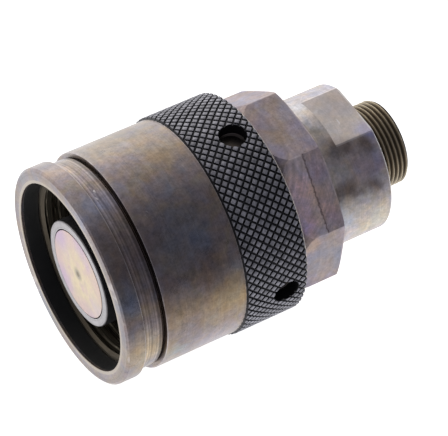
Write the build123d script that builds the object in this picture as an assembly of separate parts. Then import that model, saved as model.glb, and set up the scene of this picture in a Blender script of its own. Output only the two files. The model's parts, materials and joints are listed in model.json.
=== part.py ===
from build123d import *
import os
from math import cos, radians, sin

# Screw-to-connect hydraulic coupling half, in millimetres.
# The common axis is X. Stations are distances behind the mouth face, growing rearwards to the port.
# The written parts are shifted so that the origin is the centre of the port's shoulder face.
# +Z is square to the adapter's upper wrench flat, and the mouth opens towards -X.

# ---- driving dimensions ----
shoulder = 93.5            # station of the shoulder that the port stud stands on
overall_length = 105.8     # station of the port stud's end
clearance = 0.05           # between parts that are fixed together

# threaded sleeve, outside
barrel_r = 32.75
front_chamfer = (0.65, 0.5)     # along the axis and inwards, at the mouth's outer edge
collar_end = 5.8           # front collar, from the mouth face
groove_end = 12.6          # end of the shallow groove behind the collar
groove_r = 31.4
gap_r = 30.4               # narrow deeper cut at the groove's end
gap_width = 1.4
barrel_edge = 0.25         # broken edge at each end of the barrel
barrel_end = 38.2          # shoulder that the grip ring stands against
grip_seat_r = 29.5         # under the grip ring
sleeve_end = 57.4

# threaded sleeve, inside
mouth_r = 28.4             # lip at the mouth
dust_seat = (0.85, 5.9)
dust_seat_r = 29.3
dust_ring_r = 28.5         # inside of the dust ring
lead_in_r = 27.3           # mouth of the thread, behind the dust ring
thread_start = 6.7
thread_pitch = 4.0
thread_turns = 5
thread_land = 1.8
thread_slope = 0.6         # along the axis, on each side of a groove
thread_floor = 1.0
thread_overlap = 0.1       # the grooves are cut from this far inside the crest
thread_crest_r = 26.5
thread_root_r = 28.3
relief = (27.0, 30.5)      # run-out behind the thread
relief_r = 28.6
sleeve_bore_r = 26.0       # runs on the body's hub

# grip ring and what holds it
grip_end = 58.1            # rear face
grip_r = 33.4              # over the knurl
grip_chamfer = 0.45
counterbore_r = 31.4       # room for the retaining ring
counterbore_start = 55.25
ring_groove = (55.3, 56.6)
ring_groove_r = 28.5
retaining_ring_r = 30.9
retaining_ring_turn = 20   # degrees from +Z to the ring's opening
retaining_ring_gap = 7.0   # width of the opening
drive_pin_turns = (47.0, 167.0, 287.0)
drive_pin_r = 1.5
drive_pin_span = (47.5, 55.1)
spanner_hole_r = 4.0       # four radial holes for a pin spanner
spanner_hole_station = 51.1
spanner_hole_turn = 2.0    # degrees from +Z towards -Y
spanner_recess = ((28.8, 3.5), (29.5, 4.2))     # countersink under each hole: floor and rim

# one row of balls carries the sleeve's pull
ball_r = 2.0
ball_count = 36
ball_station = 43.5
ball_circle_r = 25.9
sleeve_race_play = 0.15
body_race_play = 0.08
plug_turn = 47.0           # hole that the balls are loaded through
plug_r = 2.6
plug_slot = (4.0, 0.8, 1.0)     # length, width and double depth of the screwdriver slot

# body
octagon_sides = 8
octagon_flats = 56.0       # across flats
octagon_turn = 2.4         # degrees from +Z to the first flat
octagon_span = (58.4, 73.2)
front_crown = ((60.6, 29.4), 65.2)      # a point on the turned front's arc, and its end
rear_crown = (72.45, (72.94, 29.24))    # start of the turned rear's arc, and a point on it
panel_start = 67.1         # shallow panel milled on one face of the octagon
panel_depth = 0.25
panel_cutter = 4.0         # thickness of its cutter, enough to clear the octagon's corners
body_front = 34.0          # face at the bottom of the annular space
hub_r = 25.8
hub_chamfer = 0.5
bore_r = 19.6              # rear chamber that clamps the nose tube and the guide
wiper_groove = (51.0, 53.8)
wiper_groove_r = 23.6
wiper_lip = (0.9, 25.96)   # inset from the groove's ends, and radius where it touches the sleeve
wiper_edge = (0.1, 25.5)   # inset and radius of its outer corners
nose_seal_groove = (38.0, 41.8)
nose_seal_groove_r = 19.3

# nose tube
nose_front = 2.8
nose_r = 16.1
nose_edge = 0.45
nose_land = (12.4, 13.5)   # end and radius of the bore that the poppet closes
nose_neck = (30.0, 31.1)   # cone from the nose up to the collar
nose_collar_r = 17.2       # where it passes the body's front wall
nose_flange = (46.0, 52.0)
nose_bore = ((14.0, 14.6), (30.5, 14.6), (32.0, 15.6))
poppet_seal_groove = (6.4, 9.4)
poppet_seal_groove_r = 15.1

# poppet
poppet_front = 2.75
poppet_r = 13.42
poppet_edge = 0.3
poppet_back = 10.4
poppet_back_chamfer = 0.5
poppet_hub = (15.0, 6.0)   # end and radius
dimple = (0.5, 0.8)        # depth and radius of the turning centre
stem_r = 4.0
stem_hole_start = 8.0
stem_end = 67.0
stem_chamfer = 0.6
guide_bore_r = 4.06
guide_end = 58.0
guide_hub = (49.5, 58.3, 7.0)   # start, end and radius
guide_rim_r = 15.8         # inside of the rim
guide_arm = (4.0, 10.4, 11.2)   # width, radial length, and radius of the middle
guide_arm_turn = 60
nut_flats = 13.0
nut_span = (58.35, 64.35)

# spring, from the guide's arms to the back of the poppet's head
spring_wire_r = 1.1
spring_r = 8.5
spring_coils = 8
spring_span = (10.45, 52.0)

# port adapter
adapter_r = 22.5
adapter_edge = 0.3
adapter_flats = 41.0       # across the two wrench flats
flats_start = 81.0
shoulder_edge = 0.5        # rounded edge of the shoulder
spigot_r = 20.8            # screwed end inside the body
spigot_chamfer = 0.5
adapter_seal_groove = (65.0, 68.8)
adapter_seal_groove_r = 18.9
port_thread_r = 13.0       # M26 x 1.5
port_chamfer = 1.1
cone_mouth_r = 9.95        # 24 degree cone of the tube fitting
cone_length = 4.3
tube_socket_r = 9.0        # seat of an 18 mm tube
tube_socket_depth = 7.5
flow_r = 7.5
funnel = ((76.0, 15.0), 84.0)   # start of the inner cone, and the station of its end

backup_ring_width = 1.35
poppet_backup_width = 1.05
seal_play = 0.03           # between a seal and the groove that holds it
seal_setback = 0.15        # from a groove's front wall to its O-ring
poppet_seal_setback = 0.1
beyond = 1.0               # how far a cutting tool reaches past what it cuts


# ---- helpers ----
def turned(*outline):
    """Solid of revolution about X from (station, radius) corners."""
    return revolve(make_face(Polyline(*outline, close=True)), Axis.X)


def turned_edges(*edges):
    """Solid of revolution about X from lines and arcs that meet end to end."""
    return revolve(make_face(Curve() + list(edges)), Axis.X)


def ring(start, end, inner_r, outer_r):
    return turned((start, inner_r), (start, outer_r), (end, outer_r), (end, inner_r))


def o_ring(station, inner_r, section_r):
    """Round-section seal whose inside has the given radius."""
    return Pos(station, 0, 0) * Rot(0, 90, 0) * Torus(inner_r + section_r, section_r)


def around(angle):
    """Turn about X: 0 is +Z, and positive goes towards -Y."""
    return Rot(angle, 0, 0)


def radial_pin(station, angle, radius, inner, outer):
    """Cylinder along a radius, between two distances from the axis."""
    along = Pos(station, 0, (inner + outer) / 2) * Cylinder(radius, outer - inner)
    return around(angle) * along


def axial_pin(start, end, angle, distance, radius):
    along = Pos((start + end) / 2, 0, distance) * Rot(0, 90, 0) * Cylinder(radius, end - start)
    return around(angle) * along


def prism(sides, across_flats, start, end, turn):
    """Regular prism about X with a flat's normal at the given turn from +Z."""
    shape = RegularPolygon(across_flats / 2, sides, major_radius=False)
    block = extrude(shape, end - start)
    flat_up = Pos(start, 0, 0) * Rot(0, 90, 0) * Rot(0, 0, 180 / sides) * block
    return around(turn) * flat_up


def spanner_holes():
    """Four radial drills through the grip ring."""
    turns = [spanner_hole_turn + 90 * quarter for quarter in range(4)]
    inner, outer = grip_seat_r - beyond, grip_r + beyond
    return [radial_pin(spanner_hole_station, turn, spanner_hole_r, inner, outer) for turn in turns]


def spanner_recesses():
    """Four countersinks in the sleeve, where the holes' drill ran on into it."""
    (floor_r, floor), (rim_r, rim) = spanner_recess
    slope = (rim - floor) / (rim_r - floor_r)
    top_r = rim_r + beyond
    cone = Cone(floor, rim + beyond * slope, top_r - floor_r)
    place = Pos(spanner_hole_station, 0, (floor_r + top_r) / 2)
    return [around(spanner_hole_turn + 90 * quarter) * place * cone for quarter in range(4)]


def pin_holes(end):
    """Holes for the drive pins, half in the sleeve and half in the grip ring."""
    radius = drive_pin_r + clearance
    return [axial_pin(drive_pin_span[0], end, turn, grip_seat_r, radius) for turn in drive_pin_turns]


# ---- sleeve that turns on the body ----
def thread_grooves():
    """The coupling thread's grooves, drawn as plain rings with sloping sides."""
    grooves = []
    inner_r = thread_crest_r - thread_overlap
    for turn in range(thread_turns):
        start = thread_start + thread_land + turn * thread_pitch
        floor_start = start + thread_slope
        floor_end = floor_start + thread_floor
        grooves.append(
            turned(
                (start, inner_r),
                (floor_start, thread_root_r),
                (floor_end, thread_root_r),
                (floor_end + thread_slope, inner_r),
            )
        )
    return grooves


def threaded_sleeve():
    gap_start = groove_end - gap_width
    shell = turned(
        (0, mouth_r),
        (0, barrel_r - front_chamfer[1]),
        (front_chamfer[0], barrel_r),
        (collar_end, barrel_r),
        (collar_end, groove_r),
        (gap_start, groove_r),
        (gap_start, gap_r),
        (groove_end, gap_r),
        (groove_end, barrel_r - barrel_edge),
        (groove_end + barrel_edge, barrel_r),
        (barrel_end - barrel_edge, barrel_r),
        (barrel_end, barrel_r - barrel_edge),
        (barrel_end, grip_seat_r),
        (sleeve_end, grip_seat_r),
        (sleeve_end, sleeve_bore_r),
        (relief[1], sleeve_bore_r),
        (relief[1], relief_r),
        (relief[0], relief_r),
        (relief[0], thread_crest_r),
        (thread_start, thread_crest_r),
        (dust_seat[1], lead_in_r),
        (dust_seat[1], dust_seat_r),
        (dust_seat[0], dust_seat_r),
        (dust_seat[0], mouth_r),
    )
    shell -= thread_grooves()
    shell -= Pos(ball_station, 0, 0) * Rot(0, 90, 0) * Torus(ball_circle_r, ball_r + sleeve_race_play)
    shell -= ring(*ring_groove, ring_groove_r, grip_seat_r + beyond)
    shell -= radial_pin(ball_station, plug_turn, plug_r, sleeve_bore_r, grip_seat_r + beyond)
    shell -= spanner_recesses()
    return shell - pin_holes(sleeve_end + beyond)


def grip_ring():
    start = barrel_end + clearance
    seat_r = grip_seat_r + clearance
    body = turned(
        (start, seat_r),
        (start, grip_r - grip_chamfer),
        (start + grip_chamfer, grip_r),
        (grip_end - grip_chamfer, grip_r),
        (grip_end, grip_r - grip_chamfer),
        (grip_end, counterbore_r),
        (counterbore_start, counterbore_r),
        (counterbore_start, seat_r),
    )
    body -= spanner_holes()
    return body - pin_holes(counterbore_start + beyond)


def grip_retaining_ring():
    """Open snap ring in the sleeve's rear groove."""
    start, end = ring_groove
    flat_ring = ring(start + clearance, end - clearance, ring_groove_r + clearance, retaining_ring_r)
    depth = 2 * (retaining_ring_r - ring_groove_r + beyond)
    opening = Pos((start + end) / 2, 0, retaining_ring_r) * Box(end - start, retaining_ring_gap, depth)
    return flat_ring - around(retaining_ring_turn) * opening


def drive_pins():
    return [axial_pin(*drive_pin_span, turn, grip_seat_r, drive_pin_r) for turn in drive_pin_turns]


def ball_plug():
    inner = ball_circle_r + ball_r + 2 * sleeve_race_play
    plug = radial_pin(ball_station, plug_turn, plug_r - clearance, inner, grip_seat_r - clearance)
    slot = around(plug_turn) * Pos(ball_station, 0, grip_seat_r) * Box(*plug_slot)
    return plug - slot


def dust_ring():
    start, end = dust_seat
    outer_r = dust_seat_r - seal_play
    return ring(start + seal_play, end - seal_play, dust_ring_r, outer_r)


# ---- ball row between sleeve and body ----
def race_balls():
    balls = []
    for number in range(ball_count):
        angle = radians(360 * number / ball_count)
        place = Pos(ball_station, ball_circle_r * sin(angle), ball_circle_r * cos(angle))
        balls.append(place * Sphere(ball_r))
    return balls


# ---- body and what is clamped in it ----
def body_blank():
    """The body as turned: the octagon's part has crowned ends."""
    apothem = octagon_flats / 2
    corner_r = apothem / cos(radians(180 / octagon_sides)) + clearance
    start, end = octagon_span
    crown_middle, crown_end = front_crown
    rear_start, rear_middle = rear_crown
    passage_r = nose_collar_r + clearance
    hub = Polyline(
        (body_front, passage_r),
        (body_front, hub_r - hub_chamfer),
        (body_front + hub_chamfer, hub_r),
        (start, hub_r),
        (start, apothem),
    )
    crown = ThreePointArc((start, apothem), crown_middle, (crown_end, corner_r))
    middle = Line((crown_end, corner_r), (rear_start, corner_r))
    rear = ThreePointArc((rear_start, corner_r), rear_middle, (end, apothem + clearance))
    inside = Polyline(
        (end, apothem + clearance),
        (end, spigot_r + clearance),
        (guide_end, spigot_r + clearance),
        (guide_end, bore_r),
        (nose_flange[0], bore_r),
        (nose_flange[0], passage_r),
        (body_front, passage_r),
    )
    return turned_edges(hub, crown, middle, rear, inside)


def side_panel():
    """Cutter for the shallow panel on one side of the octagon."""
    length = octagon_span[1] + beyond - panel_start
    floor = octagon_flats / 2 - panel_depth
    block = Box(length, octagon_flats, panel_cutter)
    cutter = Pos(panel_start + length / 2, 0, floor + panel_cutter / 2) * block
    return around(octagon_turn + 360 / octagon_sides) * cutter


def valve_body():
    start, end = octagon_span
    hub = ring(body_front - beyond, start, hub_r / 2, octagon_flats / 2)
    body = body_blank() & (prism(octagon_sides, octagon_flats, start, end, octagon_turn) + hub)
    body -= Pos(ball_station, 0, 0) * Rot(0, 90, 0) * Torus(ball_circle_r, ball_r + body_race_play)
    body -= ring(*wiper_groove, wiper_groove_r, hub_r + beyond)
    body -= ring(*nose_seal_groove, nose_collar_r - beyond, nose_seal_groove_r)
    return body - side_panel()


def nose_tube():
    flange_r = bore_r - clearance
    land_end, land_r = nose_land
    bore_start, bore_middle, bore_end = nose_bore
    tube = turned(
        (nose_front, land_r),
        (nose_front, nose_r - nose_edge),
        (nose_front + nose_edge, nose_r),
        (nose_neck[0], nose_r),
        (nose_neck[1], nose_collar_r),
        (nose_flange[0], nose_collar_r),
        (nose_flange[0] + clearance, flange_r),
        (nose_flange[1], flange_r),
        (nose_flange[1], bore_end[1]),
        bore_end,
        bore_middle,
        bore_start,
        (land_end, land_r),
    )
    return tube - ring(*poppet_seal_groove, land_r - beyond, poppet_seal_groove_r)


def poppet_seal():
    inner_r = nose_land[1] + seal_play
    section_r = (poppet_seal_groove_r - inner_r) / 2 - seal_play
    return o_ring(poppet_seal_groove[0] + section_r + poppet_seal_setback, inner_r, section_r)


def poppet_backup_ring():
    end = poppet_seal_groove[1] - clearance
    outer_r = poppet_seal_groove_r - seal_play
    return ring(end - poppet_backup_width, end, nose_land[1], outer_r)


def nose_seal():
    inner_r = nose_collar_r + seal_play
    section_r = (nose_seal_groove_r - inner_r - seal_play) / 2
    return o_ring(nose_seal_groove[0] + section_r + seal_setback, inner_r, section_r)


def nose_backup_ring():
    end = nose_seal_groove[1] - clearance
    return ring(end - backup_ring_width, end, nose_collar_r + seal_play, nose_seal_groove_r - seal_play)


def sleeve_wiper():
    """Ring in the hub's rear groove that keeps dirt out of the ball row."""
    start, end = wiper_groove
    lip, lip_r = wiper_lip
    edge, edge_r = wiper_edge
    inner_r = wiper_groove_r + seal_play
    return turned(
        (start + edge, inner_r),
        (start + edge, edge_r),
        (start + lip, lip_r),
        (end - lip, lip_r),
        (end - edge, edge_r),
        (end - edge, inner_r),
    )


def poppet_guide():
    """Three-armed guide: its rim is clamped between the nose tube and the adapter."""
    rim_start = nose_flange[1] + clearance
    hub_start, hub_end, hub_outer_r = guide_hub
    arm_width, arm_length, arm_middle_r = guide_arm
    rim = ring(rim_start, guide_end, guide_rim_r, bore_r - clearance)
    hub = ring(hub_start, hub_end, guide_bore_r, hub_outer_r)
    arm_thickness = guide_end - rim_start - clearance
    arm = Pos((rim_start + guide_end) / 2, 0, arm_middle_r) * Box(arm_thickness, arm_width, arm_length)
    guide = rim + hub
    for third in range(3):
        guide += around(guide_arm_turn + 120 * third) * arm
    return guide


def poppet_spring():
    height = spring_span[1] - spring_span[0] - 2 * (spring_wire_r + clearance)
    coil = Helix(pitch=height / spring_coils, height=height, radius=spring_r)
    wire = Plane(origin=coil @ 0, z_dir=coil % 0) * Circle(spring_wire_r)
    turns = sweep(wire, path=coil, is_frenet=True)
    return Pos(spring_span[0] + spring_wire_r + clearance, 0, 0) * Rot(0, 90, 0) * turns


# ---- poppet ----
def poppet_head():
    """Flat disc that closes the nose flush with its front face."""
    dimple_depth, dimple_r = dimple
    hub_end, hub_outer_r = poppet_hub
    hole_r = stem_r + clearance
    return turned(
        (poppet_front + dimple_depth, 0),
        (poppet_front, dimple_r),
        (poppet_front, poppet_r - poppet_edge),
        (poppet_front + poppet_edge, poppet_r),
        (poppet_back - poppet_back_chamfer, poppet_r),
        (poppet_back, poppet_r - poppet_back_chamfer),
        (poppet_back, hub_outer_r),
        (hub_end, hub_outer_r),
        (hub_end, hole_r),
        (stem_hole_start, hole_r),
        (stem_hole_start, 0),
    )


def poppet_stem():
    start = stem_hole_start + clearance
    return turned(
        (start, 0),
        (start, stem_r),
        (stem_end - stem_chamfer, stem_r),
        (stem_end, stem_r - stem_chamfer),
        (stem_end, 0),
    )


def stem_nut():
    """Hexagon nut on the stem's end, which stops the poppet flush with the nose."""
    start, end = nut_span
    nut = prism(6, nut_flats, start, end, 0)
    return nut - ring(start - beyond, end + beyond, 0, stem_r + clearance)


# ---- port adapter ----
def adapter_blank():
    """The adapter as turned, before its wrench flats and seal groove."""
    start = guide_end + clearance
    flange_start = octagon_span[1] + clearance
    edge_start = shoulder - shoulder_edge
    edge_r = adapter_r - shoulder_edge
    bend = shoulder_edge * (1 - cos(radians(45)))
    funnel_start, funnel_end = funnel
    outside = Polyline(
        funnel_start,
        (start, funnel_start[1]),
        (start, spigot_r - spigot_chamfer),
        (start + spigot_chamfer, spigot_r),
        (flange_start, spigot_r),
        (flange_start, adapter_r - adapter_edge),
        (flange_start + adapter_edge, adapter_r),
        (edge_start, adapter_r),
    )
    edge_middle = (shoulder - bend, adapter_r - bend)
    rounded = ThreePointArc((edge_start, adapter_r), edge_middle, (shoulder, edge_r))
    port = Polyline(
        (shoulder, edge_r),
        (shoulder, port_thread_r),
        (overall_length - port_chamfer, port_thread_r),
        (overall_length, port_thread_r - port_chamfer),
        (overall_length, cone_mouth_r),
        (overall_length - cone_length, tube_socket_r),
        (overall_length - tube_socket_depth, tube_socket_r),
        (overall_length - tube_socket_depth, flow_r),
        (funnel_end, flow_r),
        funnel_start,
    )
    return turned_edges(outside, rounded, port)


def adapter():
    body = adapter_blank() - ring(*adapter_seal_groove, adapter_seal_groove_r, spigot_r + beyond)
    length = shoulder - flats_start
    thickness = adapter_r - adapter_flats / 2 + beyond
    for side in (1, -1):
        middle = side * (adapter_flats + thickness) / 2
        body -= Pos(flats_start + length / 2, 0, middle) * Box(length, 2 * adapter_r, thickness)
    return body


def adapter_seal():
    inner_r = adapter_seal_groove_r + seal_play
    section_r = (spigot_r - inner_r) / 2
    return o_ring(adapter_seal_groove[0] + section_r + seal_setback, inner_r, section_r)


def adapter_backup_ring():
    end = adapter_seal_groove[1] - clearance
    return ring(end - backup_ring_width, end, adapter_seal_groove_r + seal_play, spigot_r)


# ---- write one file per part ----
parts = {
    "threaded_sleeve": threaded_sleeve(),
    "grip_ring": grip_ring(),
    "grip_retaining_ring": grip_retaining_ring(),
    "drive_pins": drive_pins(),
    "ball_plug": ball_plug(),
    "dust_ring": dust_ring(),
    "race_balls": race_balls(),
    "valve_body": valve_body(),
    "sleeve_wiper": sleeve_wiper(),
    "nose_tube": nose_tube(),
    "nose_seal": nose_seal(),
    "nose_backup_ring": nose_backup_ring(),
    "poppet_seal": poppet_seal(),
    "poppet_backup_ring": poppet_backup_ring(),
    "poppet_guide": poppet_guide(),
    "poppet_spring": poppet_spring(),
    "poppet_head": poppet_head(),
    "poppet_stem": poppet_stem(),
    "stem_nut": stem_nut(),
    "adapter": adapter(),
    "adapter_seal": adapter_seal(),
    "adapter_backup_ring": adapter_backup_ring(),
}

os.makedirs("parts", exist_ok=True)
for name, shape in parts.items():
    solids = shape if isinstance(shape, list) else [shape]
    moved = [Pos(-shoulder, 0, 0) * solid for solid in solids]
    export_step(moved[0] if len(moved) == 1 else Compound(children=moved), f"parts/{name}.step")
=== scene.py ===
import json
from math import cos, pi, radians, sin, sqrt, tan

import bmesh
import bpy
import numpy as np
from mathutils import Matrix, Vector


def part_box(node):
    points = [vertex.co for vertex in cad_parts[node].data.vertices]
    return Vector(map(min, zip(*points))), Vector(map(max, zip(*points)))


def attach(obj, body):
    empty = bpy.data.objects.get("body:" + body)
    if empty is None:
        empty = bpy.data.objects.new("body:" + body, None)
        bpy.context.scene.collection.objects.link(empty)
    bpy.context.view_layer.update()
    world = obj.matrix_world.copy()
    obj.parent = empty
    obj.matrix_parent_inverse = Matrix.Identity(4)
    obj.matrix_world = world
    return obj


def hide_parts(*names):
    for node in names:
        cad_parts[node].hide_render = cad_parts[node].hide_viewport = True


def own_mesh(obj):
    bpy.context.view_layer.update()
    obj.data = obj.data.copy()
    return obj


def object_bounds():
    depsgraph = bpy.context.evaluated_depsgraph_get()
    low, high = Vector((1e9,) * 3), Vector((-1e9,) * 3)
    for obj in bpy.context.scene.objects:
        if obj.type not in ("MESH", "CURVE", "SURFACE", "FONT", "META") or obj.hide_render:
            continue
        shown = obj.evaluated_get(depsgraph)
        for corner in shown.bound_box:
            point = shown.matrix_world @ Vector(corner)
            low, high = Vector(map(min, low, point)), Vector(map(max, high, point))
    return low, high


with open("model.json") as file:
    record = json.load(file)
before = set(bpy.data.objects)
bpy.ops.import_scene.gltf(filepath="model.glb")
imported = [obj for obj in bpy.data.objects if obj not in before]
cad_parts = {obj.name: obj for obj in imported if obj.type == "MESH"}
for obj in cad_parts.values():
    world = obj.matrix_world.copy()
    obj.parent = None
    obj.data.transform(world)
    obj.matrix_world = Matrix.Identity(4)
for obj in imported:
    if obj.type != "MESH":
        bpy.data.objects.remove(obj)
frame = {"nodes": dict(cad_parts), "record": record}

cad_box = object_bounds()

# ---- places and sizes ----
# Stations are millimetres behind the mouth face. Angles are turned from +Z towards -Y.
MM = 0.001
mouth_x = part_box("threaded_sleeve")[0].x


def station_of(x):
    return (x - mouth_x) / MM


def radius_of(node):
    low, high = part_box(node)
    return max(high.z, -low.z, high.y, -low.y) / MM


barrel_r = radius_of("threaded_sleeve")
sleeve_end = station_of(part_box("threaded_sleeve")[1].x)
grip_start, grip_end = [station_of(corner.x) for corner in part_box("grip_ring")]
grip_r = radius_of("grip_ring")
dust_start, dust_end = [station_of(corner.x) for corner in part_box("dust_ring")]
dust_outer_r = radius_of("dust_ring")
body_front, body_end = [station_of(corner.x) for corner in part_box("valve_body")]
nose_front, nose_end = [station_of(corner.x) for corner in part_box("nose_tube")]
nose_flange_r = radius_of("nose_tube")
poppet_front, poppet_end = [station_of(corner.x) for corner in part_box("poppet_head")]
poppet_r = radius_of("poppet_head")
spring_start, spring_end = [station_of(corner.x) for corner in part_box("poppet_spring")]
adapter_start, adapter_end = [station_of(corner.x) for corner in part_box("adapter")]
adapter_r = radius_of("adapter")
shoulder = station_of(0.0)

OCTAGON_TURN = radians(2.4)
OCTAGON_APOTHEM = 28.0
SPANNER_STATION = 51.1
SPANNER_TURN = radians(2.0)
HOLE_DRILL = ((27.0, 4.0), (33.1, 4.0), (34.0, 4.6))       # (distance from the axis, radius)
RECESS_DRILL = ((28.8, 3.5), (30.5, 5.2))
ROUND = 240                # columns round a turned piece
SHARP_ANGLE = radians(32)  # edges bent more than this are not smoothed
around = np.linspace(0, 2 * pi, ROUND, endpoint=False)


# ---- mesh helpers ----
def rounded(corners, steps=5):
    """(station, radius, fillet) corners of a closed outline, with each fillet as an arc of points."""
    points = []
    count = len(corners)
    for i, (s, r, fillet) in enumerate(corners):
        here = np.array((s, r))
        before = np.array(corners[i - 1][:2]) - here
        after = np.array(corners[(i + 1) % count][:2]) - here
        if not fillet:
            points.append(here)
            continue
        before /= np.linalg.norm(before)
        after /= np.linalg.norm(after)
        half = 0.5 * np.arccos(np.clip(before @ after, -1, 1))
        reach = fillet / tan(half)
        middle = before + after
        centre = here + middle / np.linalg.norm(middle) * fillet / sin(half)
        start = here + before * reach - centre
        end = here + after * reach - centre
        sweep = pi - 2 * half
        for k in range(steps + 1):
            t = k / steps
            arc = (sin((1 - t) * sweep) * start + sin(t * sweep) * end) / sin(sweep)
            points.append(centre + arc)
    return np.array(points)


def turned_places(stations, radii, angles):
    """Places in metres of points with these stations, distances from the axis and angles."""
    return np.stack((
        mouth_x + stations * MM, -radii * np.sin(angles) * MM, radii * np.cos(angles) * MM
    ), -1)


def every_column(outline, columns=ROUND):
    """The outline's radii, the same in every column."""
    return np.repeat(outline[:, 1:2], columns, 1)


def add_piece(name, mesh):
    piece = bpy.data.objects.new(name, mesh)
    bpy.context.scene.collection.objects.link(piece)
    return piece


def grid_mesh(name, stations, radii, angles, closed=True):
    """Mesh of rows x columns points round the axis. Closed rows join the last row to the first."""
    rows, columns = radii.shape
    stations = np.broadcast_to(stations, radii.shape)
    angles = np.broadcast_to(angles, radii.shape)
    points = turned_places(stations, radii, angles).reshape(-1, 3)
    i = np.arange(rows if closed else rows - 1)[:, None]
    j = np.arange(columns)[None, :]
    a = i * columns + j
    b = i * columns + (j + 1) % columns
    c = (i + 1) % rows * columns + (j + 1) % columns
    d = (i + 1) % rows * columns + j
    faces = np.stack((a, b, c, d), -1).reshape(-1, 4)
    mesh = bpy.data.meshes.new(name)
    mesh.from_pydata(points.tolist(), [], faces.tolist())
    piece = add_piece(name, mesh)
    tidy_mesh(piece)
    return piece


def tidy_mesh(piece):
    """Merges points that meet, turns the faces outward and marks the sharp edges."""
    bm = bmesh.new()
    bm.from_mesh(piece.data)
    bmesh.ops.remove_doubles(bm, verts=bm.verts, dist=2e-6)
    bmesh.ops.dissolve_degenerate(bm, edges=bm.edges, dist=1e-6)
    bmesh.ops.recalc_face_normals(bm, faces=bm.faces)
    for face in bm.faces:
        face.smooth = True
    for edge in bm.edges:
        edge.smooth = len(edge.link_faces) == 2 and edge.calc_face_angle(0) < SHARP_ANGLE
    bm.to_mesh(piece.data)
    bm.free()


def weighted(piece):
    """Lets large faces rule the shading next to small fillets."""
    modifier = piece.modifiers.new("weighted", "WEIGHTED_NORMAL")
    modifier.keep_sharp = True
    modifier.weight = 80
    return piece


def lathe(name, corners):
    outline = rounded(corners)
    return weighted(grid_mesh(name, outline[:, 0:1], every_column(outline), around))


def soft_min(a, b, width):
    """Smaller of two surfaces, with their meeting line rounded over the width."""
    h = np.clip(0.5 + 0.5 * (b - a) / width, 0, 1)
    return b * (1 - h) + a * h - width * h * (1 - h)


def stretch(start, end, step):
    """Evenly spaced stations from start to end, no more than a step apart."""
    return np.linspace(start, end, max(2, int(np.ceil(abs(end - start) / step)) + 1))


# ---- turned and milled pieces ----
THREAD_CREST_R = 26.5
THREAD_ROOT_R = 28.3
THREAD_PITCH = 4.0
THREAD_START = 6.7
THREAD_END = 27.0
THREAD_PHASE = 0.15        # of a turn
MOUTH_R = 28.4
COLLAR_END = 5.8           # behind the collar come a groove, a deeper step and the barrel
GROOVE_R = 31.4
STEP_START = 12.1
STEP_R = 30.4
BARREL_START = 12.6
NECK_R = 29.5              # under the grip ring
RELIEF_R = 28.6            # behind the thread
RELIEF_END = 30.5
BORE_R = 26.0


def coupling_thread(stations, angles):
    """Radius of the sleeve's right-hand internal thread: flat lands and sloping grooves."""
    phase = (stations - THREAD_START) / THREAD_PITCH + angles / (2 * pi) - THREAD_PHASE
    across = np.abs(phase % 1 - 0.5) * THREAD_PITCH      # 0 in the middle of the groove
    depth = np.clip((1.1 - across) / 0.6, 0, 1)
    depth = depth * depth * (3 - 2 * depth)
    runout = np.clip((THREAD_END - 0.4 - stations) / 1.5, 0, 1)
    return THREAD_CREST_R + (THREAD_ROOT_R - THREAD_CREST_R) * depth * runout


def make_threaded_sleeve():
    seat_r = dust_outer_r + 0.02
    shell = rounded([
        (dust_start, MOUTH_R, 0.12),
        (0, MOUTH_R, 0.2),
        (0, barrel_r - 0.75, 0.5),
        (0.65, barrel_r, 0.5),
        (COLLAR_END, barrel_r, 0.15),
        (COLLAR_END, GROOVE_R, 0.3),
        (STEP_START - 0.4, GROOVE_R, 0.25),
        (STEP_START, GROOVE_R - 0.3, 0.08),
        (STEP_START, STEP_R, 0.08),
        (BARREL_START, STEP_R, 0.08),
        (BARREL_START, barrel_r - 0.02, 0.22),
        (grip_start - 0.05, barrel_r - 0.02, 0.2),
        (grip_start - 0.05, NECK_R, 0),
        (sleeve_end, NECK_R, 0.3),
        (sleeve_end, BORE_R, 0.3),
        (RELIEF_END, BORE_R, 0.2),
        (RELIEF_END, RELIEF_R, 0.4),
        (THREAD_END, RELIEF_R, 0.4),
        (THREAD_END, THREAD_CREST_R, 0),
    ])
    start = rounded([
        (THREAD_START, THREAD_CREST_R, 0),
        (dust_end, 27.3, 0.1),
        (dust_end, seat_r, 0.1),
        (dust_start, seat_r, 0.1),
    ])
    thread_rows = stretch(THREAD_END - 0.1, THREAD_START + 0.1, 0.15)[:, None]
    rows = np.concatenate((shell[:, 0], thread_rows[:, 0], start[:, 0]))[:, None]
    radii = np.concatenate((every_column(shell), coupling_thread(thread_rows, around), every_column(start)))
    piece = grid_mesh("sleeve_shell", rows, radii, around)
    drill_spanner_holes(piece, RECESS_DRILL)
    tidy_mesh(piece)
    return weighted(piece)


class Crown:
    """Turned arc through three (station, radius) points, which rounds off an end of the octagon."""

    def __init__(self, start, middle, end):
        (s0, r0), (s1, r1), (s2, r2) = start, middle, end
        lever = np.array(((s1 - s0, r1 - r0), (s2 - s0, r2 - r0)))
        sums = np.array((s1 ** 2 + r1 ** 2 - s0 ** 2 - r0 ** 2, s2 ** 2 + r2 ** 2 - s0 ** 2 - r0 ** 2)) / 2
        self.station, self.radius = np.linalg.solve(lever, sums)
        self.size = np.hypot(s0 - self.station, r0 - self.radius)
        self.low, self.high = s0, s2

    def radius_at(self, stations):
        across = np.clip(stations, self.low, self.high) - self.station
        return self.radius + np.sqrt(self.size ** 2 - across ** 2)

    def station_at(self, radii, side):
        """Where the arc has a radius: side is -1 on its front half and 1 on its rear half."""
        return self.station + side * np.sqrt(np.maximum(self.size ** 2 - (radii - self.radius) ** 2, 0))


HALF_SIDE = pi / 8         # angle from the middle of an octagon's side to its corner


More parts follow.
